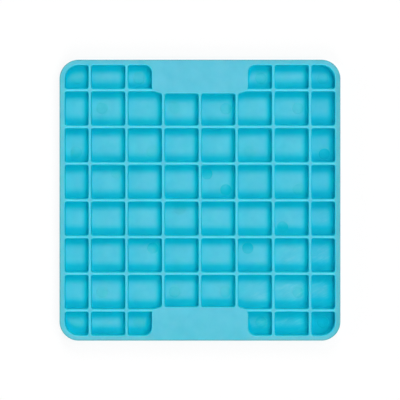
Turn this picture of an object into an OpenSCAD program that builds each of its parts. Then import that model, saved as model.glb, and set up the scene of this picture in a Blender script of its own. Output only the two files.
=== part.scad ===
// Lick mat: a soft moulded mat of walled pockets, overmoulded on a rigid backing plate.
// Origin at the centre of the underside. Z is up, and the pockets open upwards.

/* [Mat] */
// Side of the square mat
mat_w = 200; // [180:1:240]
// Radius of the mat's four corners in plan
corner_r = 13.6; // [8:0.2:18]
// Width of the flat rim round the pockets
rim_w = 3.8; // [3:0.1:6]
// Soft skin between the pocket floor and the backing plate
floor_t = 1.5; // [1:0.1:3]
// Rounding of the mat's top and bottom outer edges
edge_r = 0.7; // [0.3:0.1:1]

/* [Pockets] */
// Pockets in a full row, counted from rim to rim
cells = 8; // [6:2:10]
// Distance from the mat's edge to the middle of the first wall
edge_cell = 21.64; // [18:0.02:26]
// Thickness of the walls at the pocket mouth
wall_w = 1.8; // [1.4:0.1:3]
// Depth of the pockets below the top of the walls
pocket_depth = 3.5; // [2:0.1:3.9]
// Radius of the pocket corners in plan
pocket_r = 1.7; // [0.9:0.1:3]
// Lean of the pocket walls, in degrees, that lets the moulding leave its tool
draft = 3; // [1:0.5:5]
// Width of the broken edge along the top of the walls
crest_c = 0.3; // [0.1:0.05:0.5]
// Width of the bevel where a wall meets the pocket floor
foot_c = 0.4; // [0.1:0.05:0.5]

/* [Tabs] */
// How far each side of the tab lies beyond the first wall off the centre line
tab_side = 8.13; // [5:0.01:10]
// How far the tab laps past the inner face of the first wall
tab_lap = 1.55; // [0.5:0.05:3]
// Radius of the tab's two free corners
tab_r = 8.5; // [6:0.5:12]
// Radius in the pocket corner where the tab grows out of the rim
root_r = 5.3; // [2:0.1:7]

/* [Backing plate] */
// Thickness of the backing plate
plate_t = 2.5; // [1.5:0.1:4]
// Width of the soft skirt that wraps the plate's edge
skirt_w = 2.2; // [1.5:0.1:3]
// Bevel under the plate's edge, which the skirt fills and grips
lock_c = 0.8; // [0.4:0.1:1.2]
// Diameter of a grip plug where it shows underneath
plug_d = 8; // [6:0.5:12]
// Diameter of the same plug at the top of the plate
plug_neck_d = 5.2; // [3:0.1:5.5]

/* [Hidden] */
$fn = 64;
mat_colour = [0.38, 0.78, 0.87];
plate_colour = [0.16, 0.6, 0.7];
// Smallest step that counts as two separate outline points
same_point = 0.001;
// Overrun of every cut past the surface that it opens
over = 0.2;
// Straight steps in the rounding of the outer edges
edge_steps = 3;
half_w = mat_w / 2;
quarter = cells / 2;
pitch = (mat_w - 2 * edge_cell) / (cells - 2);
mat_t = plate_t + floor_t + pocket_depth;
floor_z = mat_t - pocket_depth;
slope = tan(draft);
tab_half = pitch + tab_side;
tab_face = (quarter - 1) * pitch - wall_w / 2 - tab_lap;
plate_half = half_w - skirt_w;
plate_r = corner_r - skirt_w;
// Grip plugs stand under every other crossing of the walls
plug_rows = [for (k = [1:2:quarter]) k * pitch];

// Near and far side of pocket k, counted outwards from the centre line
function near(k) = k * pitch + wall_w / 2;
function far(k) = k == quarter - 1 ? half_w - rim_w : (k + 1) * pitch - wall_w / 2;

// Edge sections, each a list of [distance outside the outline, height] from bottom to top
function pocket_edge() = [
  [-slope * pocket_depth - foot_c, floor_z],
  [-slope * (pocket_depth - foot_c), floor_z + foot_c],
  [-slope * crest_c, mat_t - crest_c],
  [crest_c + over, mat_t + over]
];
function tab_edge() = [
  [slope * pocket_depth + foot_c, floor_z],
  [slope * (pocket_depth - foot_c), floor_z + foot_c],
  [slope * crest_c, mat_t - crest_c],
  [-crest_c - over, mat_t + over]
];
function rounding(z, from) = [
  for (k = [0:edge_steps])
    let (a = from + 90 * k / edge_steps)
    [edge_r * cos(a) - edge_r, z + edge_r * sin(a)]
];
function mat_edge() = concat(rounding(edge_r, -90), rounding(mat_t - edge_r, 0));
function plate_edge() = [[-lock_c, 0], [0, lock_c], [0, plate_t]];

// Half section from a depth inside the outline out to its edge
module section(inside, edge) {
  last = len(edge) - 1;
  polygon(concat([[0, edge[0][1]]], [for (p = edge) [inside + p[0], p[1]]], [[0, edge[last][1]]]));
}

// Block with one section all round: a turned corner, a straight side and a core, set face to face.
// Corners of the box run anticlockwise from the lowest x and y, each with its own radius.
module swept_block(low, high, radii, edge) {
  last = len(edge) - 1;
  corners = [low, [high[0], low[1]], high, [low[0], high[1]]];
  inward = [[1, 1], [-1, 1], [-1, -1], [1, -1]];
  centres = [for (k = [0:3]) corners[k] + radii[k] * inward[k]];
  strips = [for (k = [0:3]) min(radii[k], radii[(k + 1) % 4])];
  for (k = [0:3]) {
    next = (k + 1) % 4;
    run = centres[next] - centres[k];
    along = k % 2 == 0 ? abs(run[0]) : abs(run[1]);
    start = corners[k] + [
      k % 2 == 0 ? radii[k] * inward[k][0] : strips[k] * inward[k][0],
      k % 2 == 0 ? strips[k] * inward[k][1] : radii[k] * inward[k][1]
    ];
    translate(centres[k]) rotate(180 + 90 * k) rotate_extrude(angle = 90) section(radii[k], edge);
    translate(start) rotate(90 * k) rotate([90, 0, 90]) linear_extrude(along) mirror([1, 0])
      section(strips[k], edge);
  }
  core = [
    for (k = [0:3]) let (before = (k + 3) % 4)
      for (p = k % 2 == 0
        ? [corners[k] + [strips[before] * inward[k][0], radii[k] * inward[k][1]], centres[k],
          corners[k] + [radii[k] * inward[k][0], strips[k] * inward[k][1]]]
        : [corners[k] + [radii[k] * inward[k][0], strips[before] * inward[k][1]], centres[k],
          corners[k] + [strips[k] * inward[k][0], radii[k] * inward[k][1]]]) p
  ];
  count = len(core);
  outline = [for (k = [0:count - 1]) if (norm(core[k] - core[(k + 1) % count]) > same_point) core[k]];
  translate([0, 0, edge[0][1]]) linear_extrude(edge[last][1] - edge[0][1]) polygon(outline);
}

module pocket(low, high, radii) {
  swept_block(low, high, radii, pocket_edge());
}

// Free corner of the tab, which cuts into the pocket beside it
module tab_corner() {
  translate([tab_half - tab_r, tab_face + tab_r]) rotate(270) rotate_extrude(angle = 90)
    section(tab_r, tab_edge());
}

// Pocket k across and m up from the centre, in the quarter where x and y are positive
module quarter_pocket(k, m) {
  plain = [pocket_r, pocket_r, pocket_r, pocket_r];
  low = [near(k), near(m)];
  high = [far(k), far(m)];
  edge_row = m == quarter - 1;
  row_by_tab = m == quarter - 2;
  if (edge_row && k == 1)
    pocket([tab_half, low[1]], high, [pocket_r, pocket_r, pocket_r, root_r]);
  else if (edge_row && k == quarter - 1)
    pocket(low, high, [pocket_r, pocket_r, corner_r - rim_w, pocket_r]);
  else if (row_by_tab && k == 0)
    pocket(low, [high[0], tab_face], plain);
  else if (row_by_tab && k == 1)
    difference() {
      pocket(low, high, plain);
      tab_corner();
    }
  else if (!(edge_row && k == 0))
    pocket(low, high, plain);
}

module all_pockets() {
  for (turn = [0, 1], side = [0, 1])
    mirror([turn, 0, 0]) mirror([0, side, 0])
      for (k = [0:quarter - 1], m = [0:quarter - 1]) quarter_pocket(k, m);
}

module square_block(half, radius, edge) {
  swept_block([-half, -half], [half, half], [radius, radius, radius, radius], edge);
}

// Soft moulding: rim, tabs, walls, pocket floors, skirt and grip plugs in one piece
module licking_mat() {
  color(mat_colour)
    difference() {
      square_block(half_w, corner_r, mat_edge());
      plate_body();
      all_pockets();
    }
}

// Rigid plate with the holes that the soft moulding fills and grips
module plate_body() {
  difference() {
    square_block(plate_half, plate_r, plate_edge());
    for (x = plug_rows, y = plug_rows, sx = [-1, 1], sy = [-1, 1])
      translate([sx * x, sy * y, 0]) cylinder(h = plate_t, d1 = plug_d, d2 = plug_neck_d);
  }
}

module backing_plate() {
  color(plate_colour) plate_body();
}

licking_mat();
backing_plate();
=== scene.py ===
# %% [markdown]
# # A lick mat in a plain studio
#
# The object is a soft square mat of walled pockets, moulded onto a rigid plate.
# The imported CAD model is loaded first, because every piece made here has to sit
# exactly where the CAD says. Its box is kept, and the mat's sizes are read from it.

# %% Load the imported model
import math

import bpy
import numpy as np
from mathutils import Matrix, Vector
from mathutils.geometry import delaunay_2d_cdt


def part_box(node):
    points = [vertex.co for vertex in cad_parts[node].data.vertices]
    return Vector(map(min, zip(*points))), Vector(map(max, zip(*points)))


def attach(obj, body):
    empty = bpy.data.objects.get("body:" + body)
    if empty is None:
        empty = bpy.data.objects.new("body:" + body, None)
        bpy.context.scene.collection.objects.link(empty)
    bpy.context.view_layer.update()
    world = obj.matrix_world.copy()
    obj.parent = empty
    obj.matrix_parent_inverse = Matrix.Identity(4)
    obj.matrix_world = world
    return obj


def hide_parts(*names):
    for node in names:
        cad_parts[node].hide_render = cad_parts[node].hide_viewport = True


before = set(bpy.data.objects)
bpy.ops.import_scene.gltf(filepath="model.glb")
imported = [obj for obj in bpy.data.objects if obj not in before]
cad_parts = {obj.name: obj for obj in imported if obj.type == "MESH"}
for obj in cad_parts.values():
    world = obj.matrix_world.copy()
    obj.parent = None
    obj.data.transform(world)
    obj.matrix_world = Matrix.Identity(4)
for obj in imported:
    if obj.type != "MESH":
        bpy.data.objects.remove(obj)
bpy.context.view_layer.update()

MM = 0.001
mat_low, mat_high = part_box("licking_mat")
plate_low, plate_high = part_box("backing_plate")
print("mat is", [round(v / MM, 2) for v in mat_high - mat_low], "mm")
print("plate is", [round(v / MM, 2) for v in plate_high - plate_low], "mm")

# %% [markdown]
# ## Driving sizes
#
# The mat's outline and height are read from the imported model. The other sizes,
# apart from the flare's radii, repeat the CAD's own. Places such as the wall pitch
# are worked out from them.

# %% Sizes of the mat
HALF = mat_high.x
MAT_TOP = mat_high.z
PLATE_TOP = plate_high.z
SKIRT_W = HALF - plate_high.x
CORNER_R = 13.6 * MM
RIM_W = 3.8 * MM
POCKET_DEPTH = 3.5 * MM
FLOOR_Z = MAT_TOP - POCKET_DEPTH
EDGE_R = 0.7 * MM
CELLS = 8
QUARTER = CELLS // 2
EDGE_CELL = 21.64 * MM
PITCH = 2 * (HALF - EDGE_CELL) / (CELLS - 2)
WALL_W = 1.8 * MM
POCKET_R = 1.7 * MM
SLOPE = math.tan(math.radians(3))
CREST_R = 0.3 * MM
FOOT_R = 0.4 * MM
TAB_HALF = PITCH + 8.13 * MM
TAB_FACE = (QUARTER - 1) * PITCH - WALL_W / 2 - 1.55 * MM
TAB_R = 8.5 * MM
ROOT_R = 5.3 * MM
FLARE_R, FLARE_END_R = 5.5 * MM, 0.6 * MM
LOCK_C = 0.8 * MM
PLUG_R, PLUG_NECK_R = 4.0 * MM, 2.6 * MM
print("wall pitch", round(PITCH / MM, 3), "mm, tab", round(2 * TAB_HALF / MM, 1), "mm wide")

# %% [markdown]
# ## Meshes from arrays
#
# Every surface below is worked out with numpy as whole arrays of points, then
# handed to Blender in one go. This helper takes points, four-sided faces and
# three-sided faces. Curved faces are shaded smooth, and flat ones stay flat, so
# that a broad flat face doesn't pick up the slope of the edge beside it.

# %% Mesh helper
def new_object(name, data):
    """Makes an object of that data and puts it in the scene."""
    made = bpy.data.objects.new(name, data)
    bpy.context.scene.collection.objects.link(made)
    return made


def mesh_object(name, points, quads, triangles, smooth_triangles):
    """Makes one mesh from arrays: quads are smooth, triangles are smooth only where told."""
    mesh = bpy.data.meshes.new(name)
    mesh.vertices.add(len(points))
    mesh.vertices.foreach_set("co", np.asarray(points, np.float32).ravel())
    corners = np.concatenate([quads.ravel(), triangles.ravel()]).astype(np.int32)
    mesh.loops.add(len(corners))
    mesh.loops.foreach_set("vertex_index", corners)
    sides = np.concatenate([np.full(len(quads), 4), np.full(len(triangles), 3)]).astype(np.int32)
    starts = np.concatenate([[0], np.cumsum(sides)[:-1]]).astype(np.int32)
    mesh.polygons.add(len(sides))
    mesh.polygons.foreach_set("loop_start", starts)
    mesh.update(calc_edges=True)
    mesh.polygons.foreach_set("use_smooth", np.concatenate([np.ones(len(quads), bool), smooth_triangles]))
    mesh.validate()
    print(name, len(points), "points,", 2 * len(quads) + len(triangles), "triangles")
    return new_object(name, mesh)


# %% [markdown]
# ## Skins between rings
#
# Most of the mat is a section swept round a closed loop. Its points are stored
# ring after ring, and the skin is the four-sided faces between neighbouring rings.

# %% Ring helper
def ring_faces(rings, count, first, facing_in):
    """Quads between neighbouring closed rings of count points, stored ring after ring from index first."""
    r, k = np.meshgrid(np.arange(rings - 1), np.arange(count), indexing="ij")
    here, onward = first + r * count + k, first + r * count + (k + 1) % count
    loops = [here, onward, onward + count, here + count]
    if not facing_in:
        loops = [here, here + count, onward + count, onward]
    return np.stack(loops, -1).reshape(-1, 4)


print("one band round a loop of 4 points has", len(ring_faces(2, 4, 0, True)), "faces")

# %% [markdown]
# ## Outlines of the pockets
#
# A pocket is bounded by four sides, most of them straight walls. Each side is
# written as a distance that is negative inside the pocket, and two sides meet in
# a corner of a given radius. One formula then covers the plain pockets, those in
# the mat's round corners, and those that the finger tabs cut into, where a side
# is the tab's own rounded outline.

# %% Distance functions
def meet(a, b, radius):
    """Distance to the corner where sides a and b meet with that radius: negative inside both.

    Short of the arc's centre it is the larger of a and b, and beyond it the distance from
    the centre less the radius.
    """
    beyond = np.hypot(np.maximum(a + radius, 0), np.maximum(b + radius, 0))
    return np.minimum(np.maximum(a, b), -radius) + beyond


def tab_distance(x, y, radius):
    """Distance to the finger tab, a bar whose free corners have that radius: negative on the tab."""
    return meet(x - TAB_HALF, TAB_FACE - y, radius)


print("middle of the mat to the tab:", round(float(tab_distance(0.0, 0.0, TAB_R)) / MM, 1), "mm")

# %% [markdown]
# ## Pockets of one quarter
#
# The mat is the same in all four quarters, so only the pockets of one are drawn.
# Each is a box with four corner radii. The ones by the tab and in the mat's
# corner differ, and are picked out by their column and row.

# %% Boxes and corner radii
def near_side(k):
    """Near side of pocket k, counted outwards from the centre line."""
    return k * PITCH + WALL_W / 2


def far_side(k):
    """Far side of pocket k: the rim for the last one."""
    return np.where(k == QUARTER - 1, HALF - RIM_W, (k + 1) * PITCH - WALL_W / 2)


column, row = np.meshgrid(np.arange(QUARTER), np.arange(QUARTER), indexing="ij")
column, row = column.ravel(), row.ravel()
on_tab = (column == 0) & (row == QUARTER - 1)
column, row = column[~on_tab], row[~on_tab]
beside_tab = (column == 1) & (row == QUARTER - 1)
under_tab = (column == 0) & (row == QUARTER - 2)
cut_by_tab = (column == 1) & (row == QUARTER - 2)
at_corner = (column == QUARTER - 1) & (row == QUARTER - 1)
box_low = np.stack([np.where(beside_tab, TAB_HALF, near_side(column)), near_side(row)], -1)
box_high = np.stack([far_side(column), np.where(under_tab, TAB_FACE, far_side(row))], -1)
# Corner radii run anticlockwise from the corner nearest the middle of the mat
radii = np.full((len(column), 4), POCKET_R)
radii[at_corner, 2] = CORNER_R - RIM_W
radii[beside_tab, 0] = FLARE_END_R
radii[beside_tab, 3] = ROOT_R
print(len(column), "pockets in a quarter")

# %% [markdown]
# ## Distance to a pocket
#
# The four corners of a pocket are four meetings of neighbouring sides, and the
# pocket is where all of them are negative. Beside the tab, the pocket flares out
# towards the next wall, and below it the tab's round corner bites into a pocket.

# %% Distance to every pocket at once
def pocket_distance(x, y):
    """Distance to each pocket's outline, the largest of its four corners'. Pockets are the first axis."""
    def each(values):
        return values.reshape(-1, *([1] * (x.ndim - 1)))

    left = np.where(each(beside_tab), -tab_distance(x, y, FLARE_R), each(box_low[:, 0]) - x)
    right = x - each(box_high[:, 0])
    bottom = each(box_low[:, 1]) - y
    top = y - each(box_high[:, 1])
    top = np.where(each(cut_by_tab), meet(top, -tab_distance(x, y, TAB_R), POCKET_R), top)
    corners = [meet(left, bottom, each(radii[:, 0])), meet(right, bottom, each(radii[:, 1])),
               meet(right, top, each(radii[:, 2])), meet(left, top, each(radii[:, 3]))]
    return np.max(corners, axis=0)


middle = (box_low + box_high) / 2
depth_at_middle = pocket_distance(*middle.T[..., None])
print("pocket middles lie", np.round(-depth_at_middle.max() / MM, 1), "mm or more from their walls")

# %% [markdown]
# ## Walking round a pocket
#
# The outline is followed along rays from the pocket's middle, closer together
# in the corners, so that the mesh is fine where the outline bends.

# %% Rays from the middle of each pocket
ARC_STEPS = 5
SIDE_STEPS = 11
AROUND = 4 * (ARC_STEPS + SIDE_STEPS)
INWARD = np.array([[1, 1], [-1, 1], [-1, -1], [1, -1]])


def unit(turn):
    """Unit vectors at those angles."""
    return np.stack([np.cos(turn), np.sin(turn)], -1)


def guide_loop(low, high, corner_radii):
    """Points round rounded boxes: arcs at the corners, and sides that are sampled more closely near them.

    Along a side, step t of n lies at the share (1 - cos(pi t / n)) / 2.
    """
    box_corners = np.stack([low, np.stack([high[:, 0], low[:, 1]], -1), high,
                            np.stack([low[:, 0], high[:, 1]], -1)], 1)
    centres = box_corners + corner_radii[..., None] * INWARD
    turn = np.radians(180 + 90 * np.arange(4)[:, None] + 90 * np.arange(ARC_STEPS + 1) / ARC_STEPS)
    arcs = centres[:, :, None] + corner_radii[..., None, None] * unit(turn)
    start, end = arcs[:, :, -1], np.roll(arcs[:, :, 0], -1, axis=1)
    share = (1 - np.cos(np.pi * np.arange(1, SIDE_STEPS) / SIDE_STEPS)) / 2
    sides = start[:, :, None] + (end - start)[:, :, None] * share[:, None]
    return np.concatenate([arcs, sides], 2).reshape(len(low), AROUND, 2)


ray = guide_loop(box_low, box_high, radii) - middle[:, None]
ray /= np.linalg.norm(ray, axis=-1, keepdims=True)
print(AROUND, "rays in each pocket")

# %% [markdown]
# ## Where the rays meet the outline
#
# The distance at which a ray meets the outline, or a line a little inside or
# outside it, is found by halving an interval until it closes. All pockets, rays
# and offsets are solved together as one array.

# %% Loops at given offsets
HALVINGS = 40
LONGEST_RAY = 2 * PITCH


def outline_at(offsets):
    """Where each ray is offset metres outside the outline: an array of pocket, offset, ray and x, y."""
    reach = np.full((len(middle), len(offsets), AROUND), LONGEST_RAY)
    shortest = np.zeros_like(reach)
    for _ in range(HALVINGS):
        halfway = (shortest + reach) / 2
        place = middle[:, None, None] + halfway[..., None] * ray[:, None]
        inside = pocket_distance(place[..., 0], place[..., 1]) < np.asarray(offsets)[:, None]
        shortest, reach = np.where(inside, halfway, shortest), np.where(inside, reach, halfway)
    return middle[:, None, None] + shortest[..., None] * ray[:, None]


widths = np.ptp(outline_at([0.0])[:, 0], axis=1) / MM
print("pockets are", np.round(widths.min(0), 1), "to", np.round(widths.max(0), 1), "mm in x and y")

# %% [markdown]
# ## Section of a pocket wall
#
# From the top of the wall down: a narrow flat, a small round over the crest, the
# leaning wall that lets the moulding leave its tool, and a small round at the
# foot. The section is a list of offsets and heights, swept round every outline.
# The rounds matter more than their size suggests, because they catch the light.

# %% Section from crest to foot
CREST_STEPS = 4
FOOT_STEPS = 4
FLAT_W = 0.15 * MM
# Two pockets' first rings keep this much off the middle of the wall between them
MIDDLE_GAP = 0.05 * MM
SHOULDER = WALL_W / 2 - MIDDLE_GAP
crest_turn = np.radians(90 + 90 * np.arange(CREST_STEPS + 1) / CREST_STEPS)
foot_turn = np.radians(-90 * np.arange(FOOT_STEPS + 1) / FOOT_STEPS)
wall_foot = -SLOPE * (POCKET_DEPTH - CREST_R - FOOT_R)
section_offset = np.concatenate([[SHOULDER, CREST_R + FLAT_W], CREST_R + CREST_R * np.cos(crest_turn),
                                 wall_foot - FOOT_R + FOOT_R * np.cos(foot_turn)])
section_height = np.concatenate([[MAT_TOP, MAT_TOP], MAT_TOP - CREST_R + CREST_R * np.sin(crest_turn),
                                 FLOOR_Z + FOOT_R + FOOT_R * np.sin(foot_turn)])
section_loops = outline_at(section_offset)
print("wall section has", len(section_offset), "rings of", AROUND, "points")

# %% [markdown]
# ## Pocket floors
#
# From the foot ring the floor closes in on the middle of the pocket in a few
# rings, closer together near the wall. The quarter is then mirrored into the
# other three, and its loops are turned back so that all run anticlockwise.

# %% Floors and the whole set of pockets
FLOOR_RINGS = 9
RING_CROWDING = 1.25
inward_share = (np.arange(1, FLOOR_RINGS) / FLOOR_RINGS) ** RING_CROWDING
floor_loops = (section_loops[:, -1:] * (1 - inward_share[:, None, None])
               + middle[:, None, None] * inward_share[:, None, None])
loops = np.concatenate([section_loops, floor_loops], 1)
heights = np.concatenate([section_height, np.full(FLOOR_RINGS - 1, FLOOR_Z)])
RINGS = len(heights)


def mirrored(sign_x, sign_y):
    """The quarter's pockets in one of the four quarters, still running anticlockwise."""
    turned = loops * [sign_x, sign_y]
    return turned[:, :, ::-1] if sign_x * sign_y < 0 else turned


all_loops = np.concatenate([mirrored(sx, sy) for sx in (1, -1) for sy in (1, -1)])
all_middles = np.concatenate([middle * [sx, sy] for sx in (1, -1) for sy in (1, -1)])
POCKETS = len(all_middles)
print(POCKETS, "pockets of", RINGS, "rings")

# %% [markdown]
# ## Sink of the floors
#
# A soft moulding shrinks as it cools, so a floor isn't a true plane: it sinks by
# a few hundredths of a millimetre in slow waves. Their lengths don't divide the
# wall pitch, so they differ from pocket to pocket.

# %% Sunk floors
SINK = 0.06 * MM
# Shares of the sink that are everywhere, in long waves and in short waves
MEAN_SHARE, LONG_SHARE, SHORT_SHARE = 0.5, 0.3, 0.18
# Lengths of the waves along x and y, each for one radian, and where the long ones start
LONG_WAVE, LONG_START = np.array([7.1, 8.3]) * MM, (1.3, 0.4)
SHORT_WAVE = np.array([3.7, 5.9]) * MM
SETTLE_RINGS = 3


def floor_sink(x, y):
    """How far the floor lies below its plane: sin(x) sin(y) in long waves, plus sin(x - y) in short ones."""
    long_part = np.sin(x / LONG_WAVE[0] + LONG_START[0]) * np.sin(y / LONG_WAVE[1] + LONG_START[1])
    short_part = np.sin(x / SHORT_WAVE[0] - y / SHORT_WAVE[1])
    return SINK * (MEAN_SHARE + LONG_SHARE * long_part + SHORT_SHARE * short_part)


pocket_points = np.zeros((POCKETS, RINGS, AROUND, 3))
pocket_points[..., :2] = all_loops
pocket_points[..., 2] = heights[:, None]
floor_part = slice(len(section_height), RINGS)
settled = np.minimum(np.arange(1, FLOOR_RINGS) / SETTLE_RINGS, 1)[:, None]
pocket_points[:, floor_part, :, 2] -= settled * floor_sink(
    pocket_points[:, floor_part, :, 0], pocket_points[:, floor_part, :, 1])
centre_points = np.column_stack([all_middles, FLOOR_Z - floor_sink(all_middles[:, 0], all_middles[:, 1])])
print("floors sink by up to", round(float(FLOOR_Z - pocket_points[..., 2].min()) / MM, 3), "mm")

# %% [markdown]
# ## Outside of the mat
#
# The outer skin is the mat's rounded square swept with its own section: over the
# top edge, down the side, round the bottom edge, under the skirt, and up inside
# it to the plate that the skirt grips.

# %% Outer shell
SHELL_ARC = 24
SHELL_SIDE = 40
SHELL_AROUND = 4 * (SHELL_ARC + SHELL_SIDE)
EDGE_STEPS = 5


def rounded_square(half, radius):
    """Points round a square with round corners: four times a quarter turn, then a straight side."""
    turn = np.radians(90 * np.arange(4)[:, None] + 90 * np.arange(SHELL_ARC + 1) / SHELL_ARC)
    centres = (half - radius) * -INWARD[[2, 3, 0, 1]]
    arcs = centres[:, None] + radius * unit(turn)
    start, end = arcs[:, -1], np.roll(arcs[:, 0], -1, axis=0)
    share = np.arange(1, SHELL_SIDE) / SHELL_SIDE
    sides = start[:, None] + (end - start)[:, None] * share[:, None]
    return np.concatenate([arcs, sides], 1).reshape(-1, 2)


edge_turn = np.radians(90 * np.arange(EDGE_STEPS + 1) / EDGE_STEPS)
edge_sine, edge_cosine = EDGE_R * np.sin(edge_turn), EDGE_R * np.cos(edge_turn)
over_top = np.stack([edge_sine - EDGE_R, MAT_TOP - EDGE_R + edge_cosine], -1)
round_foot = np.stack([edge_cosine - EDGE_R, EDGE_R - edge_sine], -1)
shell_section = np.concatenate([
    [[-EDGE_R - FLAT_W, MAT_TOP]], over_top, round_foot,
    [[-SKIRT_W - LOCK_C, 0], [-SKIRT_W, LOCK_C], [-SKIRT_W, PLATE_TOP]]])
shell_points = np.concatenate([
    np.column_stack([rounded_square(HALF + offset, CORNER_R + offset), np.full(SHELL_AROUND, z)])
    for offset, z in shell_section])
print("outer shell has", len(shell_section), "rings of", SHELL_AROUND, "points")

# %% [markdown]
# ## Grip plugs
#
# Under the plate, the soft material shows again as round plugs. Each one fills a
# tapered hole that is wider underneath, which is what locks the two mouldings
# together, and its foot keeps the mat from sliding.

# %% Plugs
PLUG_AROUND = 48
plug_rows = np.arange(1, QUARTER, 2) * PITCH
plug_places = np.array([[sx * x, sy * y] for x in plug_rows for y in plug_rows
                        for sx in (1, -1) for sy in (1, -1)])
plug_circle = unit(2 * np.pi * np.arange(PLUG_AROUND) / PLUG_AROUND)
plug_section = [(PLUG_NECK_R, PLATE_TOP), (PLUG_R, 0.0), (PLUG_R / 2, 0.0)]
plug_points = np.concatenate([
    np.column_stack([place + radius * plug_circle, np.full(PLUG_AROUND, z)])
    for place in plug_places for radius, z in plug_section])
print(len(plug_places), "plugs")

# %% [markdown]
# ## Closing the flat faces
#
# What is left is flat: the tops of the rim, tabs and walls, and the face that
# lies on the plate. Both are sheets with many holes. Blender's constrained
# triangulation fills a sheet between given loops, and a test on the middle of
# each triangle drops those that lie in a hole.

# %% Triangles of a flat sheet
SAME_POINT = 1e-6


def sheet_triangles(rings, points, keep):
    """Triangles between closed loops of point numbers. keep tells which triangle middles are on the sheet."""
    numbers = np.concatenate(rings)
    flat = points[numbers, :2]
    sizes = np.array([len(r) for r in rings])
    firsts = np.concatenate([[0], np.cumsum(sizes)[:-1]])
    edges = np.concatenate([
        np.stack([first + np.arange(size), first + (np.arange(size) + 1) % size], -1)
        for first, size in zip(firsts, sizes)])
    made = delaunay_2d_cdt([Vector(p) for p in flat / MM], edges.tolist(), [], 0, SAME_POINT, True)
    source = np.array([origin[0] for origin in made[3]])
    triangles = np.array(made[2])
    corners = np.array([[v.x, v.y] for v in made[0]])[triangles] * MM
    first_side, second_side = corners[:, 1] - corners[:, 0], corners[:, 2] - corners[:, 0]
    clockwise = first_side[:, 0] * second_side[:, 1] < first_side[:, 1] * second_side[:, 0]
    triangles[clockwise] = triangles[clockwise][:, ::-1]
    return numbers[source[triangles[keep(corners.mean(1))]]]


def in_square(at, half, radius):
    """True where points lie inside a square with round corners."""
    return meet(np.abs(at[:, 0]) - half, np.abs(at[:, 1]) - half, radius) < 0


def clear_of_pockets(at):
    """True where points of the top lie inside the mat's edge and outside every pocket's first ring."""
    folded = np.abs(at)
    grid = np.broadcast_to(folded, (len(middle), *folded.shape))
    distance = pocket_distance(grid[..., 0], grid[..., 1]).min(0)
    return in_square(at, HALF - EDGE_R - FLAT_W, CORNER_R - EDGE_R - FLAT_W) & (distance > SHOULDER)


def clear_of_plugs(at):
    """True where points of the face on the plate lie between the skirt and the plugs."""
    distance = np.linalg.norm(at[:, None] - plug_places, axis=-1).min(1)
    return in_square(at, HALF - SKIRT_W, CORNER_R - SKIRT_W) & (distance > PLUG_NECK_R)


# %% [markdown]
# ## Top and underside
#
# The points of all parts go into one list, and the two sheets use the points of
# the loops that are already there. Shared points make the mat one closed skin.

# %% Top sheet and plate sheet
pocket_count = POCKETS * RINGS * AROUND
shell_first = pocket_count + POCKETS
plug_first = shell_first + len(shell_points)
mat_points = np.concatenate([pocket_points.reshape(-1, 3), centre_points, shell_points, plug_points])

pocket_starts = np.arange(POCKETS) * RINGS * AROUND
shell_last_ring = shell_first + (len(shell_section) - 1) * SHELL_AROUND
plug_starts = plug_first + np.arange(len(plug_places)) * len(plug_section) * PLUG_AROUND
top_sheet = sheet_triangles(
    [start + np.arange(AROUND) for start in pocket_starts] + [shell_first + np.arange(SHELL_AROUND)],
    mat_points, clear_of_pockets)
plate_sheet = sheet_triangles(
    [start + np.arange(PLUG_AROUND) for start in plug_starts] + [shell_last_ring + np.arange(SHELL_AROUND)],
    mat_points, clear_of_plugs)[:, ::-1]
print("top sheet", len(top_sheet), "triangles, plate sheet", len(plate_sheet))

# %% [markdown]
# ## The soft mat
#
# The faces of all parts are gathered: rings round each pocket, a fan of small
# triangles that closes each floor at its middle, the outer shell, the plugs and
# the two flat sheets.

# %% Assemble the mat
def closing_fans(last_rings, centre_first, turned=False):
    """Triangles from each last ring to its own centre point, numbered from centre_first."""
    onward = np.roll(last_rings, -1, axis=1)
    centres = np.broadcast_to(centre_first + np.arange(len(last_rings))[:, None], last_rings.shape)
    sides = (onward, last_rings) if turned else (last_rings, onward)
    return np.stack([*sides, centres], -1).reshape(-1, 3)


mat_quads = np.concatenate(
    [ring_faces(RINGS, AROUND, start, True) for start in pocket_starts]
    + [ring_faces(len(shell_section), SHELL_AROUND, shell_first, False)]
    + [ring_faces(len(plug_section), PLUG_AROUND, start, False) for start in plug_starts])
inner_ring = (pocket_starts + (RINGS - 1) * AROUND)[:, None] + np.arange(AROUND)
floor_fans = closing_fans(inner_ring, pocket_count)
plug_ring = (plug_starts + (len(plug_section) - 1) * PLUG_AROUND)[:, None] + np.arange(PLUG_AROUND)
plug_fans = closing_fans(plug_ring, len(mat_points), turned=True)
mat_points = np.concatenate([mat_points, np.column_stack([plug_places, np.zeros(len(plug_places))])])
mat_triangles = np.concatenate([floor_fans, plug_fans, top_sheet, plate_sheet])
soft_mat = mesh_object("soft_mat", mat_points, mat_quads, mat_triangles,
                       np.arange(len(mat_triangles)) < len(floor_fans))

# %% [markdown]
# ## Painted shade and highlights
#
# In the photograph the colour is deepest at the foot of a wall, where light has
# met rubber of the same colour several times, which takes the red out of it.
# Soft light alone shows less of this. So this shade is painted, and so are pale
# highlights on the crests: each point of the mat gets a factor for red, green and
# blue, worked out from its distance to the walls round it, and the material
# multiplies the rubber's colour by it. The four sides of a pocket have factors of
# their own, because the photograph shows them so.

# %% Sides of a pocket
SIDES = {"left": (0, -1), "right": (0, 1), "bottom": (1, -1), "top": (1, 1)}
CREST_LAST = 2 + CREST_STEPS
FOOT_FIRST = CREST_LAST + 1


def ease(share):
    """0 to 1 with level ends: 3t^2 - 2t^3."""
    share = np.clip(share, 0, 1)
    return share * share * (3 - 2 * share)


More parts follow.
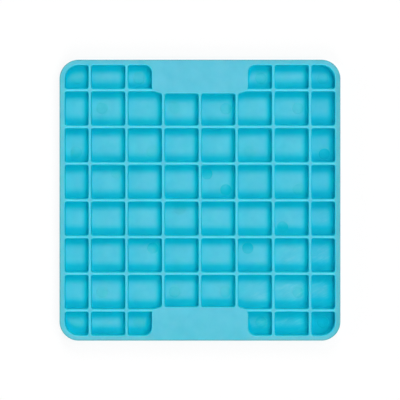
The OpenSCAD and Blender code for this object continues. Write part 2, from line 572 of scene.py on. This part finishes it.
def outward_of(loop):
    """Unit vectors that point out of an anticlockwise loop: its run at each point, turned by a quarter."""
    along = np.roll(loop, -1, axis=-2) - np.roll(loop, 1, axis=-2)
    turned = np.stack([along[..., 1], -along[..., 0]], -1)
    return turned / np.linalg.norm(turned, axis=-1, keepdims=True)


def by_side(values, facing):
    """The four sides' factors, mixed by the square of how far each point faces that side."""
    return sum(np.clip(sign * facing[..., axis], 0, 1)[..., None] ** 2 * values[side]
               for side, (axis, sign) in SIDES.items())


mouth = all_loops[:, CREST_LAST]
outward = outward_of(mouth)
wall_line = np.einsum("pkd,pkd->pk", mouth, outward)
print("outward directions of", outward[..., 0].size, "points on the pockets' mouths")

# %% [markdown]
# ## Painted shade of the floors
#
# On a floor, red fades out towards each wall over a reach of a few millimetres:
# a painted shade where the walls keep light off the floor.
# These numbers were found by comparing renders with the photograph, side by
# side. The end columns and the low right corner are darkest there, so their
# reaches are longer.

# %% Numbers for the floors
# Painted shade in the pockets: a factor for the whole floor, then for each side where the shade starts, how
# far it reaches and how deep it is
FLOOR_SHADE = np.array([0.80, 1.0, 1.01])
DEEP_START = {"left": -0.4 * MM, "right": 2.1 * MM, "bottom": 2.6 * MM, "top": 2.9 * MM}
DEEP_REACH = {"left": 0.7 * MM, "right": 5.7 * MM, "bottom": 8.5 * MM, "top": 7.8 * MM}
DEEP_SHADE = {"left": (0, 1, 1), "right": (0.01, 0.93, 0.935), "bottom": (0.06, 0.98, 1.02),
             "top": (0.01, 0.95, 0.985)}
# A second, wider painted shade beside the walls, in red only
WIDE_REACH = 15 * MM
WIDE_SHARE = {"left": 0.22, "right": 0.11, "bottom": 0, "top": 0}
FIRST_COLUMN_WIDE = 0.5
# How much farther off red starts to come back in the lower half of the mat
LOW_START = {**dict.fromkeys(SIDES, 0), "bottom": 1.2 * MM}
# How much longer the reach is in the last column, and how much more towards the low right corner
COLUMN_GROWTH = {"left": 0, "right": 0.16, "bottom": 0.3, "top": 0.12}
CORNER_GROWTH = {"left": 0, "right": 0.7, "bottom": 0.4, "top": 0.5}
FIRST_COLUMN_GROWTH = 0.4
LAST_COLUMN_LOSS = np.array([0.18, 0.06, 0.03])
LAST_ROW_LOSS = np.array([0.52, 0.04, 0.03])
# Where each of these begins and over what run it grows, as shares of the mat's half width
LAST_LINE = 0.7, 0.15
TO_THE_RIGHT = -0.9, 1.5
TO_THE_ENDS = 0.55, 0.35
TO_THE_CORNER, CORNER_POWER = (0.35, 0.55), 1.5
LOW_HALF = -0.1, 0.2
LEAST_FACING = 0.3
print("red reaches", round(sum(DEEP_REACH.values()) / 4 / MM, 1), "mm on average")

# %% [markdown]
# ## Factors of the floors
#
# Every point of a floor looks along x and y for the nearest wall. Its gap to
# that wall sets the painted shade, and the factors of the four ways are
# multiplied, so corners come out deepest.

# %% Factors of the floors
def beyond(place, start, run):
    """0 up to a start and 1 from start + run on, eased between, as a share of the mat's half width."""
    return ease((place - start) / run)


def floor_shading(at, pocket, deeper=0.0):
    """Painted shade factors of the floor at points, an array of pocket, point and x, y.

    Along each of the four ways, the gap to the nearest stretch of wall that faces it is
    (wall - point) . outward / facing, and the painted shade eases from that side's deepest
    factor to 1 over that side's reach, which a deeper floor lengthens.
    """
    across = wall_line[pocket][:, None] - np.einsum("pnd,pkd->pnk", at, outward[pocket])
    x, y = (all_middles[pocket] / HALF).T[..., None]
    first_column, last_column = beyond(-x, *LAST_LINE), beyond(x, *LAST_LINE)
    last_row = beyond(-y, *LAST_LINE) * beyond(x, *TO_THE_RIGHT)
    to_ends = beyond(x, *TO_THE_ENDS) + FIRST_COLUMN_GROWTH * beyond(-x, *TO_THE_ENDS)
    to_corner = beyond(x, *TO_THE_ENDS) * beyond(-y, *TO_THE_CORNER) ** CORNER_POWER
    losses = (1 - LAST_COLUMN_LOSS * last_column) * (1 - LAST_ROW_LOSS * last_row)
    factors = np.broadcast_to((FLOOR_SHADE * losses)[:, None], (*at.shape[:2], 3)).copy()
    for side, (axis, sign) in SIDES.items():
        facing = np.clip(sign * outward[pocket][:, None, :, axis], SAME_POINT, 1)
        gap = np.where(facing > LEAST_FACING, across / facing, np.inf).min(-1)
        gap /= 1 + COLUMN_GROWTH[side] * to_ends + CORNER_GROWTH[side] * to_corner + deeper
        start = DEEP_START[side] + LOW_START[side] * beyond(-y, *LOW_HALF)
        clear = ease((gap - start) / (DEEP_REACH[side] - start))
        wide_share = WIDE_SHARE[side] * (1 + FIRST_COLUMN_WIDE * first_column)
        factors[..., 0] *= 1 - wide_share * (1 - ease(gap / WIDE_REACH))
        factors *= 1 + (1 - clear[..., None]) * (np.array(DEEP_SHADE[side]) - 1)
    return factors


every_pocket = np.arange(POCKETS)
pocket_shading = floor_shading(all_loops.reshape(POCKETS, -1, 2), every_pocket).reshape(POCKETS, RINGS, AROUND, 3)
centre_shading = floor_shading(all_middles[:, None], every_pocket)[:, 0]
print("red at the middles of the floors:", np.round([centre_shading[:, 0].min(), centre_shading[:, 0].max()], 2))

# %% [markdown]
# ## Painted light and shade on the rim
#
# The rim is broad and open, so its painted factors are close to 1. They differ a
# little from side to side, as the light falls differently on each, and again where
# the rim widens into a tab.

# %% Factors of the rim
# Painted light and shade on the rim and the tabs, for each side
RIM_SHADING = {"left": (0.98, 1.0, 0.95), "right": (0.84, 0.92, 0.87), "bottom": (1.12, 1.0, 0.95),
            "top": (0.95, 0.97, 0.95)}
TAB_SHADING = {**RIM_SHADING, "bottom": (0.88, 0.99, 0.97), "top": (1.0, 0.97, 0.98)}
# Painted shade on the round over the top edge, whose first ring takes only a share of it
EDGE_SHADE, EDGE_SHARE = np.array([0.90, 0.73, 0.63]), 0.7
# Painted shade on the outer half of that round, from this ring of the shell on
OUTER_SHADE, OUTER_FIRST = np.array([0.60, 0.77, 0.73]), 4
# Where the rim begins and where the tabs end, with the run of each, as shares of the mat's half width
RIM_LINE = 0.94, 0.02
TAB_END = 0.28, 0.1


def rim_shading(at, facing):
    """The rim's painted light and shade: 1 on a wall, and near the mat's edge those of that side's rim or
    tab.
    """
    on_rim = beyond(np.abs(at).max(-1) / HALF, *RIM_LINE)[..., None]
    off_tab = beyond(np.abs(at[..., :1]) / HALF, *TAB_END)
    at_tab = by_side(TAB_SHADING, facing)
    return 1 + on_rim * (at_tab + off_tab * (by_side(RIM_SHADING, facing) - at_tab) - 1)


shell_loop = rounded_square(HALF, CORNER_R)
shell_shading = np.ones((len(shell_section), SHELL_AROUND, 3))
shell_shading[0] = rim_shading(shell_loop, outward_of(shell_loop))
shell_shading[1] = (1 - EDGE_SHARE) * shell_shading[0] + EDGE_SHARE * EDGE_SHADE
shell_shading[2:OUTER_FIRST] = EDGE_SHADE
shell_shading[OUTER_FIRST:2 + EDGE_STEPS] = OUTER_SHADE
print("rim factors from", np.round(shell_shading[0].min(0), 2), "to", np.round(shell_shading[0].max(0), 2))

# %% [markdown]
# ## Painted highlights and shade of the walls
#
# A crest gets a pale painted highlight, and the wall below it a painted shade that
# darkens fast towards the foot. Every ring of the section keeps a share of the
# crest's highlight.

# %% Numbers for the walls
# Painted shade on the walls' faces, then painted highlights on their crests, for each side
WALL_SHADE = {"left": (0.08, 0.77, 0.78), "right": (0.10, 1.03, 1.07), "bottom": (0.05, 0.73, 0.70),
             "top": (0.05, 0.80, 0.82)}
CREST_HIGHLIGHT = {"left": (0.82, 1.01, 1.01), "right": (0.79, 1.13, 1.12), "bottom": (1.09, 1.10, 1.05),
              "top": (1.12, 1.18, 1.16)}
# How far each ring of the section, from the wall's middle to its mouth, keeps the crest's painted highlight
CREST_FADE = np.array([(1, 1, 1), (0.92, 1, 1), (0.7, 1, 1), (0.5, 1, 1), (0.2, 0.35, 0.35), (0, 0, 0),
                       (0, 0, 0)])
# The shares are raised to this power, so a higher one fades faster
FADE_SPEED = {**dict.fromkeys(SIDES, (1, 1, 1)), "bottom": (4.5, 1, 1)}
CORNER_LOSS = 0.3
# Painted shade where two walls cross
CROSSING_SHADE = np.array([0.98, 0.965, 0.95])
WALL_REACH, WALL_RUN = 1.2 * MM, 0.4 * MM
CROSSING_REACH, CROSSING_RUN = 1.5 * MM, 1.0 * MM
# Share of the wall's painted shade that is left where the foot meets the floor
FOOT_SHARE = 0.1
print("the crest's colour fades over", len(CREST_FADE), "rings")

# %% [markdown]
# ## Factors of the walls
#
# On the top face, the crests' painted highlights run along the walls, fade out on
# the rim and the tabs, and dip slightly into painted shade where two walls cross.
# Below the mouth, the walls' painted shade takes over and fades out again over the
# foot.

# %% Factors of the walls
def on_wall():
    """1 where a pocket's first ring runs along a wall, 0 where it runs along the rim, a tab or a crossing.

    On a wall, the second nearest pocket is as near as the pocket itself.
    """
    x, y = all_loops[:, 0, :, 0], all_loops[:, 0, :, 1]
    gaps = np.concatenate([
        pocket_distance(*[np.broadcast_to(v, (len(middle), *v.shape)) for v in (sx * x, sy * y)])
        for sx in (1, -1) for sy in (1, -1)])
    return 1 - ease((np.sort(gaps, axis=0)[1] - WALL_REACH) / WALL_RUN)


def at_crossing():
    """1 where a pocket's first ring passes the middle of a crossing of two walls, 0 a little way off."""
    off_line = all_loops[:, 0] - PITCH * np.round(all_loops[:, 0] / PITCH)
    return 1 - ease((np.linalg.norm(off_line, axis=-1) - CROSSING_REACH) / CROSSING_RUN)


crest_highlight, wall_shade = by_side(CREST_HIGHLIGHT, outward), by_side(WALL_SHADE, outward)
crest_highlight[..., 0] *= 1 - CORNER_LOSS * np.abs(2 * outward[..., 0] * outward[..., 1])
crest_fade = CREST_FADE[:, None] ** by_side(FADE_SPEED, outward)[:, None]
pocket_shading[:, :FOOT_FIRST] = wall_shade[:, None] + crest_fade * (crest_highlight - wall_shade)[:, None]
wall_share = on_wall()[..., None]
off_wall = (1 + at_crossing()[..., None] * (CROSSING_SHADE - 1)) * rim_shading(all_loops[:, 0], outward)
pocket_shading[:, 0] = wall_share * crest_highlight + (1 - wall_share) * off_wall
foot_share = np.linspace(1, FOOT_SHARE, FOOT_STEPS + 1)[:, None, None]
foot_part = slice(FOOT_FIRST, FOOT_FIRST + FOOT_STEPS + 1)
pocket_shading[:, foot_part] *= 1 + foot_share * (wall_shade[:, None] - 1)
print("first rings on a wall:", round(float(wall_share.mean()), 2), "of their length")

# %% [markdown]
# ## Storing the factors
#
# The painted shade and highlight factors go onto the mesh as a named colour, one
# for each point, which the material reads. Plugs and underside keep a factor of 1.

# %% Store the factors
def write_painted_shading(piece, factors):
    """Stores a painted shade factor for every point of a mesh."""
    layer = piece.data.attributes.new("painted_shading", "FLOAT_COLOR", "POINT")
    colours = np.column_stack([factors, np.ones(len(factors))])
    layer.data.foreach_set("color", colours.astype(np.float32).ravel())


tint = np.ones((len(mat_points), 3))
tint[:pocket_count] = pocket_shading.reshape(-1, 3)
tint[pocket_count:shell_first] = centre_shading
tint[shell_first:plug_first] = shell_shading.reshape(-1, 3)
write_painted_shading(soft_mat, tint)
print("factors for", len(tint), "points")

# %% [markdown]
# ## Pin marks
#
# The tool pushes the moulding out with round pins, and each leaves a faint disc
# on a pocket floor, a few hundredths of a millimetre proud. Most places follow
# the photograph, and twelve in the outer rows are placed by symmetry.

# %% Places of the pins
PIN_R = 4.0 * MM
DEEP_PIN, PIN, FAINT_PIN = 1.35, 0.4, 0.15
# x and y in millimetres, then how strong the mark is
pins = np.array([
    (18.5, 7.4, DEEP_PIN), (4.9, 18.9, DEEP_PIN), (59.1, -19.1, 0.7), (34.1, -34.2, 1.2),
    (89, 33.1, DEEP_PIN), (-33.7, -34.2, 0.6), (-70, 65.6, PIN), (70, 65.6, PIN), (-70, -65.6, FAINT_PIN),
    (70, -65.6, PIN), (18.5, 65.4, PIN), (-18, 66, FAINT_PIN), (-18, -65.4, PIN), (18, -65.4, PIN),
    (35.2, 34.8, FAINT_PIN), (-34, 34.8, FAINT_PIN), (70.5, 7.8, FAINT_PIN), (-59.5, 19.5, FAINT_PIN),
    (-14.2, -6.4, FAINT_PIN), (-88.3, 34.2, PIN),
    (-87.9, 87, FAINT_PIN), (87.9, 87, FAINT_PIN), (-87.9, -87, FAINT_PIN), (87.9, -87, PIN),
    (-43.5, 87, FAINT_PIN), (43.5, 87, PIN), (-43.5, -87, FAINT_PIN), (43.5, -87, PIN)])
pin_places, pin_depth = pins[:, :2] * MM, pins[:, 2]
print(len(pins), "pin marks")

# %% [markdown]
# ## Discs
#
# Cutting the marks into the floors' own rings would be hard, as they lie
# anywhere. So the discs are a mesh of their own: a low profile turned round each
# pin's place, laid on the waves of the floor, and closed underneath, inside the
# rubber.

# %% Discs
PIN_RISE = 0.05 * MM
PIN_BURY = 0.3 * MM
PIN_AROUND = 40
# Radius as a share of the pin's, height as a share of the rise: a dished face inside a raised lip
pin_profile = np.array([(0, 0.7), (0.3, 0.7), (0.6, 0.7), (0.84, 0.75), (0.92, 1.3), (0.96, 1.3),
                        (1.0, -0.2)])
# The rings run inwards, from one that is buried under the lip to the smallest on the face
ring_radius, ring_rise = pin_profile[:0:-1].T
pin_circle = unit(2 * np.pi * np.arange(PIN_AROUND) / PIN_AROUND)
pin_rings = pin_places[:, None, None] + PIN_R * ring_radius[:, None, None] * pin_circle
pin_rise = PIN_RISE * np.minimum(pin_depth, 1)
pin_height = (FLOOR_Z - floor_sink(pin_rings[..., 0], pin_rings[..., 1])
              + pin_rise[:, None, None] * ring_rise[:, None])
top_points = np.concatenate([pin_rings, pin_height[..., None]], -1)
under_points = top_points[:, :1].copy()
under_points[..., 2] = FLOOR_Z - PIN_BURY
pin_points = np.concatenate([under_points, top_points], 1)
pin_ring_count = pin_points.shape[1]
centre_height = FLOOR_Z - floor_sink(*pin_places.T) + pin_profile[0, 1] * pin_rise
top_centres = np.column_stack([pin_places, centre_height])
under_centres = np.column_stack([pin_places, np.full(len(pins), FLOOR_Z - PIN_BURY)])
pin_firsts = np.arange(len(pins)) * pin_ring_count * PIN_AROUND
first_ring = pin_firsts[:, None] + np.arange(PIN_AROUND)
centre_first = len(pins) * pin_ring_count * PIN_AROUND
pin_triangles = np.concatenate([
    closing_fans(first_ring + (pin_ring_count - 1) * PIN_AROUND, centre_first),
    closing_fans(first_ring, centre_first + len(pins), turned=True)])
pin_marks = mesh_object(
    "pin_marks", np.concatenate([pin_points.reshape(-1, 3), top_centres, under_centres]),
    np.concatenate([ring_faces(pin_ring_count, PIN_AROUND, first, True) for first in pin_firsts]),
    pin_triangles, np.ones(len(pin_triangles), bool))

# %% [markdown]
# ## Painted shade of the discs
#
# A mark takes the painted shade of the floor that it lies on, times a painted
# shade of its own, deepest at its lip. The stronger ones read as slightly deeper
# than the floor, so the walls' painted shade reaches farther over them.

# %% Painted shade of the discs
# Painted shade on the face of a disc, and deeper on its lip
PIN_SHADE = np.array([0.65, 0.97, 0.98])
LIP_SHADE = np.array([0.5, 0.92, 0.95])
LIP_RINGS = 3
# How much farther the walls' painted shade reaches over the strongest marks
PIN_GROWTH = 0.35
pin_pocket = np.linalg.norm(pin_places[:, None] - all_middles, axis=-1).argmin(1)
pin_deeper = PIN_GROWTH * ease(pin_depth)[:, None]
pin_floor = floor_shading(pin_points.reshape(len(pins), -1, 3)[..., :2], pin_pocket, pin_deeper)
ring_shading = np.array([LIP_SHADE] * LIP_RINGS + [PIN_SHADE] * (pin_ring_count - LIP_RINGS))
ring_shading = 1 + pin_depth[:, None, None] * (ring_shading - 1)
pin_factors = pin_floor.reshape(len(pins), pin_ring_count, PIN_AROUND, 3) * ring_shading[:, :, None]
centre_floor = floor_shading(pin_places[:, None], pin_pocket, pin_deeper)[:, 0]
centre_factors = centre_floor * (1 + pin_depth[:, None] * (PIN_SHADE - 1))
write_painted_shading(pin_marks, np.concatenate([pin_factors.reshape(-1, 3), centre_factors, centre_factors]))
print("factors for", len(pin_marks.data.vertices), "points")

# %% [markdown]
# ## Materials from nodes
#
# A material is a small network of nodes. The first helper adds one node and
# fills its inputs, with a number, a colour or the output of an earlier node. The
# patterns read Object coordinates, which are the mat's own real lengths, so a
# grain of 0.4 mm stays 0.4 mm in any view.

# %% Node helpers
NOISE_LOW, NOISE_HIGH = 0.3, 0.7


def add_node(tree, kind, inputs=None, **settings):
    """Adds a node with its own settings, and fills its inputs with values or other nodes' outputs."""
    made = tree.nodes.new("ShaderNode" + kind)
    for name, value in settings.items():
        setattr(made, name, value)
    for name, value in (inputs or {}).items():
        if isinstance(value, bpy.types.NodeSocket):
            tree.links.new(value, made.inputs[name])
        else:
            made.inputs[name].default_value = value
    return made


def noise(tree, size, detail, low=0.0, high=1.0):
    """Soft noise with patches of that size in metres, its usual range spread from low to high."""
    place = add_node(tree, "TexCoord").outputs["Object"]
    raw = add_node(tree, "TexNoise", {"Vector": place, "Scale": 1 / size, "Detail": detail}).outputs["Fac"]
    spread = {"Value": raw, "From Min": NOISE_LOW, "From Max": NOISE_HIGH, "To Min": low, "To Max": high}
    return add_node(tree, "MapRange", spread).outputs["Result"]


def combine(tree, way, first, second):
    """One value out of two: their product, difference or larger one."""
    return add_node(tree, "Math", {0: first, 1: second}, operation=way).outputs[0]


def ramp(tree, value, low, high):
    """0 where the value is low and 1 where it is high, straight between."""
    return add_node(tree, "MapRange", {"Value": value, "From Min": low, "From Max": high}).outputs["Result"]


def mix_colours(tree, factor, first, second, way="MIX"):
    """Two colours mixed, or multiplied, by a factor."""
    inputs = {"Factor": factor, "A": first, "B": second}
    return add_node(tree, "Mix", inputs, data_type="RGBA", blend_type=way).outputs["Result"]


def skin(tree, shader, grain, height, wave, wave_height):
    """Two textures in one bump: a fine grain over slow waves, each with a size and a height in metres."""
    slow = add_node(tree, "Bump", {"Height": noise(tree, wave, 1), "Distance": wave_height})
    fine = add_node(tree, "Bump", {"Height": noise(tree, grain, 3), "Distance": height,
                                   "Normal": slow.outputs["Normal"]})
    tree.links.new(fine.outputs["Normal"], shader.inputs["Normal"])


def principled(name):
    """A new material, its tree and its main shader."""
    material = bpy.data.materials.new(name)
    material.use_nodes = True
    return material, material.node_tree, material.node_tree.nodes["Principled BSDF"]


# %% [markdown]
# ## Painted sheen
#
# Towards one corner the photograph shows faint pale streaks on the floors. Here
# that sheen is painted into the colour. Streaks are noise on coordinates that are
# turned and then squeezed along one direction. A slope across the mat fades them
# in, and they stop a little above the floors.

# %% Painted sheen streaks
# Painted sheen streaks: their length, width and angle, where they start and are full, and the height where
# they stop
STREAK_LENGTH, STREAK_WIDTH, STREAK_ANGLE = 9 * MM, 1.8 * MM, 25
STREAK_START, STREAK_FULL = 80 * MM, 150 * MM
STREAK_TOP = FLOOR_Z + 0.5 * MM
STREAK_LOW, STREAK_DETAIL, STREAK_BEND = 0.5, 2.0, 1.2


def sheen_streaks(tree):
    """How strong the painted sheen is, 0 to 1: streaky noise, times a slope along x - y, times 1 on the
    floors.
    """
    place = add_node(tree, "TexCoord").outputs["Object"]
    squeezed = add_node(tree, "Mapping", {
        "Vector": place, "Rotation": (0, 0, math.radians(STREAK_ANGLE)),
        "Scale": (STREAK_LENGTH / STREAK_WIDTH, 1, 1)}, vector_type="TEXTURE").outputs["Vector"]
    raw = add_node(tree, "TexNoise", {"Vector": squeezed, "Scale": 1 / STREAK_WIDTH, "Detail": STREAK_DETAIL,
                                      "Distortion": STREAK_BEND}).outputs["Fac"]
    axes = add_node(tree, "SeparateXYZ", {"Vector": place}).outputs
    slope = combine(tree, "SUBTRACT", axes["X"], axes["Y"])
    streaks, fade = ramp(tree, raw, STREAK_LOW, NOISE_HIGH), ramp(tree, slope, STREAK_START, STREAK_FULL)
    faded = combine(tree, "MULTIPLY", streaks, fade)
    return combine(tree, "MULTIPLY", faded, ramp(tree, axes["Z"], STREAK_TOP, FLOOR_Z))


# %% [markdown]
# ## Soft rubber
#
# The mat looks like a silicone or a soft thermoplastic: even in colour, with a
# low sheen and a little light passing through its thin walls. Its colour drifts
# very slightly over a few millimetres, its gloss over a larger patch, and its
# skin copies the fine texture of the tool. Light under the skin gives the crests
# their soft look.

# %% Soft rubber
RUBBER_DEEP = (0.113, 0.508, 0.637, 1)
RUBBER_PALE = (0.137, 0.534, 0.663, 1)
# Colour factors without and with the painted sheen of the streaks
NO_SHEEN, SHEEN_STREAK = (1, 1, 1, 1), (1.8, 1.05, 1.02, 1)
RUBBER_DRIFT, RUBBER_GLOSS, RUBBER_ROUGHNESS = 9 * MM, 16 * MM, (0.44, 0.56)
# Size and height of the grain, then of the waves
RUBBER_SKIN = 0.4 * MM, 0.01 * MM, 5 * MM, 0.02 * MM
rubber, tree, shader = principled("soft_rubber")
drifting = mix_colours(tree, noise(tree, RUBBER_DRIFT, 2), RUBBER_DEEP, RUBBER_PALE)
painted_sheen = mix_colours(tree, sheen_streaks(tree), NO_SHEEN, SHEEN_STREAK)
colour = mix_colours(tree, 1.0, drifting, painted_sheen, "MULTIPLY")
# The painted shade and highlights stored on the mesh multiply the rubber's colour
painted_shading_factor = add_node(tree, "Attribute", attribute_name="painted_shading").outputs["Color"]
tree.links.new(mix_colours(tree, 1.0, colour, painted_shading_factor, "MULTIPLY"), shader.inputs["Base Color"])
tree.links.new(noise(tree, RUBBER_GLOSS, 4, *RUBBER_ROUGHNESS), shader.inputs["Roughness"])
shader.inputs["Specular IOR Level"].default_value = 0.25
shader.inputs["Specular Tint"].default_value = (0.06, 0.8, 0.95, 1)
shader.inputs["Subsurface Weight"].default_value = 1
shader.inputs["Subsurface Radius"].default_value = (0.3, 1.0, 1.4)
shader.inputs["Subsurface Scale"].default_value = 0.6 * MM
skin(tree, shader, *RUBBER_SKIN)
print("soft_rubber has", len(tree.nodes), "nodes")

for piece in (soft_mat, pin_marks):
    piece.data.materials.append(rubber)
    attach(piece, "root")
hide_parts("licking_mat")

# %% [markdown]
# ## Backing plastic
#
# The plate keeps its CAD shape and only gets a better finish: a hard, slightly
# deeper plastic with the fine matt texture that a spark-eroded tool leaves, and
# faint drifts of gloss.

# %% Backing plastic
PLASTIC_DEEP = (0.045, 0.34, 0.44, 1)
PLASTIC_PALE = (0.06, 0.38, 0.48, 1)
PLASTIC_DRIFT, PLASTIC_GLOSS, PLASTIC_ROUGHNESS = 22 * MM, 30 * MM, (0.36, 0.5)
PLASTIC_SKIN = 0.25 * MM, 0.012 * MM, 12 * MM, 0.03 * MM
plastic, tree, shader = principled("backing_plastic")
drifting = mix_colours(tree, noise(tree, PLASTIC_DRIFT, 3), PLASTIC_DEEP, PLASTIC_PALE)
tree.links.new(drifting, shader.inputs["Base Color"])
tree.links.new(noise(tree, PLASTIC_GLOSS, 5, *PLASTIC_ROUGHNESS), shader.inputs["Roughness"])
skin(tree, shader, *PLASTIC_SKIN)
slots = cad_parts["backing_plate"].material_slots
for slot in slots:
    slot.material = plastic
print("backing_plastic has", len(tree.nodes), "nodes, in", len(slots), "slot of the plate")

# %% [markdown]
# ## White floor
#
# The photograph has a white background. A floor that is lit until it turns white
# would also throw that light back onto the mat. So the floor is a pale grey that
# takes the mat's shadow, and only the rays that come straight from the camera, a
# mirror or glass also see a share of plain white in it.

# %% Floor
def white_share(tree, share):
    """That share for rays from the camera, a mirror or glass, and 0 for the rays that carry light."""
    path = add_node(tree, "LightPath").outputs
    straight = combine(tree, "MAXIMUM", path["Is Camera Ray"], path["Is Transmission Ray"])
    shown = combine(tree, "MAXIMUM", straight, path["Is Glossy Ray"])
    return combine(tree, "MULTIPLY", shown, share)


FLOOR_HALF = 2.0
FLOOR_DROP = 0.05 * MM
FLOOR_WHITE_SHARE = 0.85
FLOOR_GREY, FLOOR_ROUGHNESS = (0.86, 0.86, 0.86, 1), 0.9
floor_mesh = bpy.data.meshes.new("studio_floor")
floor_corners = [(x * FLOOR_HALF, y * FLOOR_HALF, -FLOOR_DROP) for x, y in -INWARD]
floor_mesh.from_pydata(floor_corners, [], [(0, 1, 2, 3)])
floor = new_object("studio_floor", floor_mesh)
floor_white, tree, shader = principled("floor_white")
shader.inputs["Base Color"].default_value = FLOOR_GREY
shader.inputs["Roughness"].default_value = FLOOR_ROUGHNESS
glow = add_node(tree, "Emission", {"Strength": 1.0})
blend = add_node(tree, "MixShader", {0: white_share(tree, FLOOR_WHITE_SHARE), 1: shader.outputs[0],
                                     2: glow.outputs[0]})
tree.links.new(blend.outputs[0], tree.nodes["Material Output"].inputs["Surface"])
floor_mesh.materials.append(floor_white)
print("floor is", 2 * FLOOR_HALF, "m square")

# %% [markdown]
# ## Lamps
#
# The photograph's light is soft and comes from all round, a little stronger from
# the near and far sides, so that the crests along X are the brightest. Seven far
# lamps with wide discs give this, and keep their angle all over the mat.

# %% Lamps
LAMP_SPREAD = 24


def soft_sun(name, azimuth, elevation, level):
    """A far, wide lamp. Azimuth runs from +X to +Y, and level is what a white face turned to it shows."""
    light = bpy.data.lights.new(name, "SUN")
    light.energy = level * math.pi
    light.angle = math.radians(LAMP_SPREAD)
    lamp = new_object(name, light)
    a, e = math.radians(azimuth), math.radians(elevation)
    towards = Vector((math.cos(a) * math.cos(e), math.sin(a) * math.cos(e), math.sin(e)))
    lamp.rotation_euler = towards.to_track_quat("Z", "Y").to_euler()
    lamp.location = towards


lamps = [("key_far", 45, 50, 0.252), ("key_near", 315, 50, 0.238), ("key_side", 0, 50, 0.179),
         ("key_low", 45, 30, 0.096), ("strip_far", 90, 30, 0.469), ("strip_near", 270, 30, 0.494),
         ("fill_left", 180, 15, 0.29)]
for lamp in lamps:
    soft_sun(*lamp)
on_level = sum(level * math.sin(math.radians(elevation)) for _, _, elevation, level in lamps)
print("lamps give", round(on_level, 2), "on a level surface")

# %% [markdown]
# ## World
#
# The world adds a low, even light from all round. As with the floor, the camera,
# mirrors and glass see it as plain white.

# %% World
WORLD_LEVEL = 0.078
world = bpy.data.worlds.new("studio")
bpy.context.scene.world = world
world.use_nodes = True
tree = world.node_tree
background = tree.nodes["Background"]
background.inputs["Color"].default_value = (1, 1, 1, 1)
world_strength = combine(tree, "MAXIMUM", white_share(tree, 1.0), WORLD_LEVEL)
tree.links.new(world_strength, background.inputs["Strength"])
print("with the world,", round(on_level + WORLD_LEVEL, 2))

# %% [markdown]
# ## Camera
#
# The photograph looks straight down with almost no perspective. A long lens from
# the matching distance gives the same view. The distance follows from how many
# of the picture's pixels the mat spans, measured at the height of its top face.

# %% Camera
PIXELS = 400
PHOTO_SPAN = 281.15
LENS = 110
# How far the camera stands off the mat's middle, in pixels
CAMERA_RIGHT, CAMERA_UP = 0.01, 0.165
FARTHEST_SEEN = 20
cam = bpy.data.cameras.new("camera")
cam.lens = LENS
cam.clip_end = FARTHEST_SEEN
camera = new_object("camera", cam)
frame_width = 2 * HALF * PIXELS / PHOTO_SPAN
distance = frame_width * LENS / cam.sensor_width
pixel = frame_width / PIXELS
camera.location = (CAMERA_RIGHT * pixel, CAMERA_UP * pixel, distance + MAT_TOP)
bpy.context.scene.camera = camera
bpy.context.scene.view_settings.view_transform = "Standard"
print("camera stands", round(distance, 3), "m above the mat, and a pixel is", round(pixel / MM, 3), "mm")
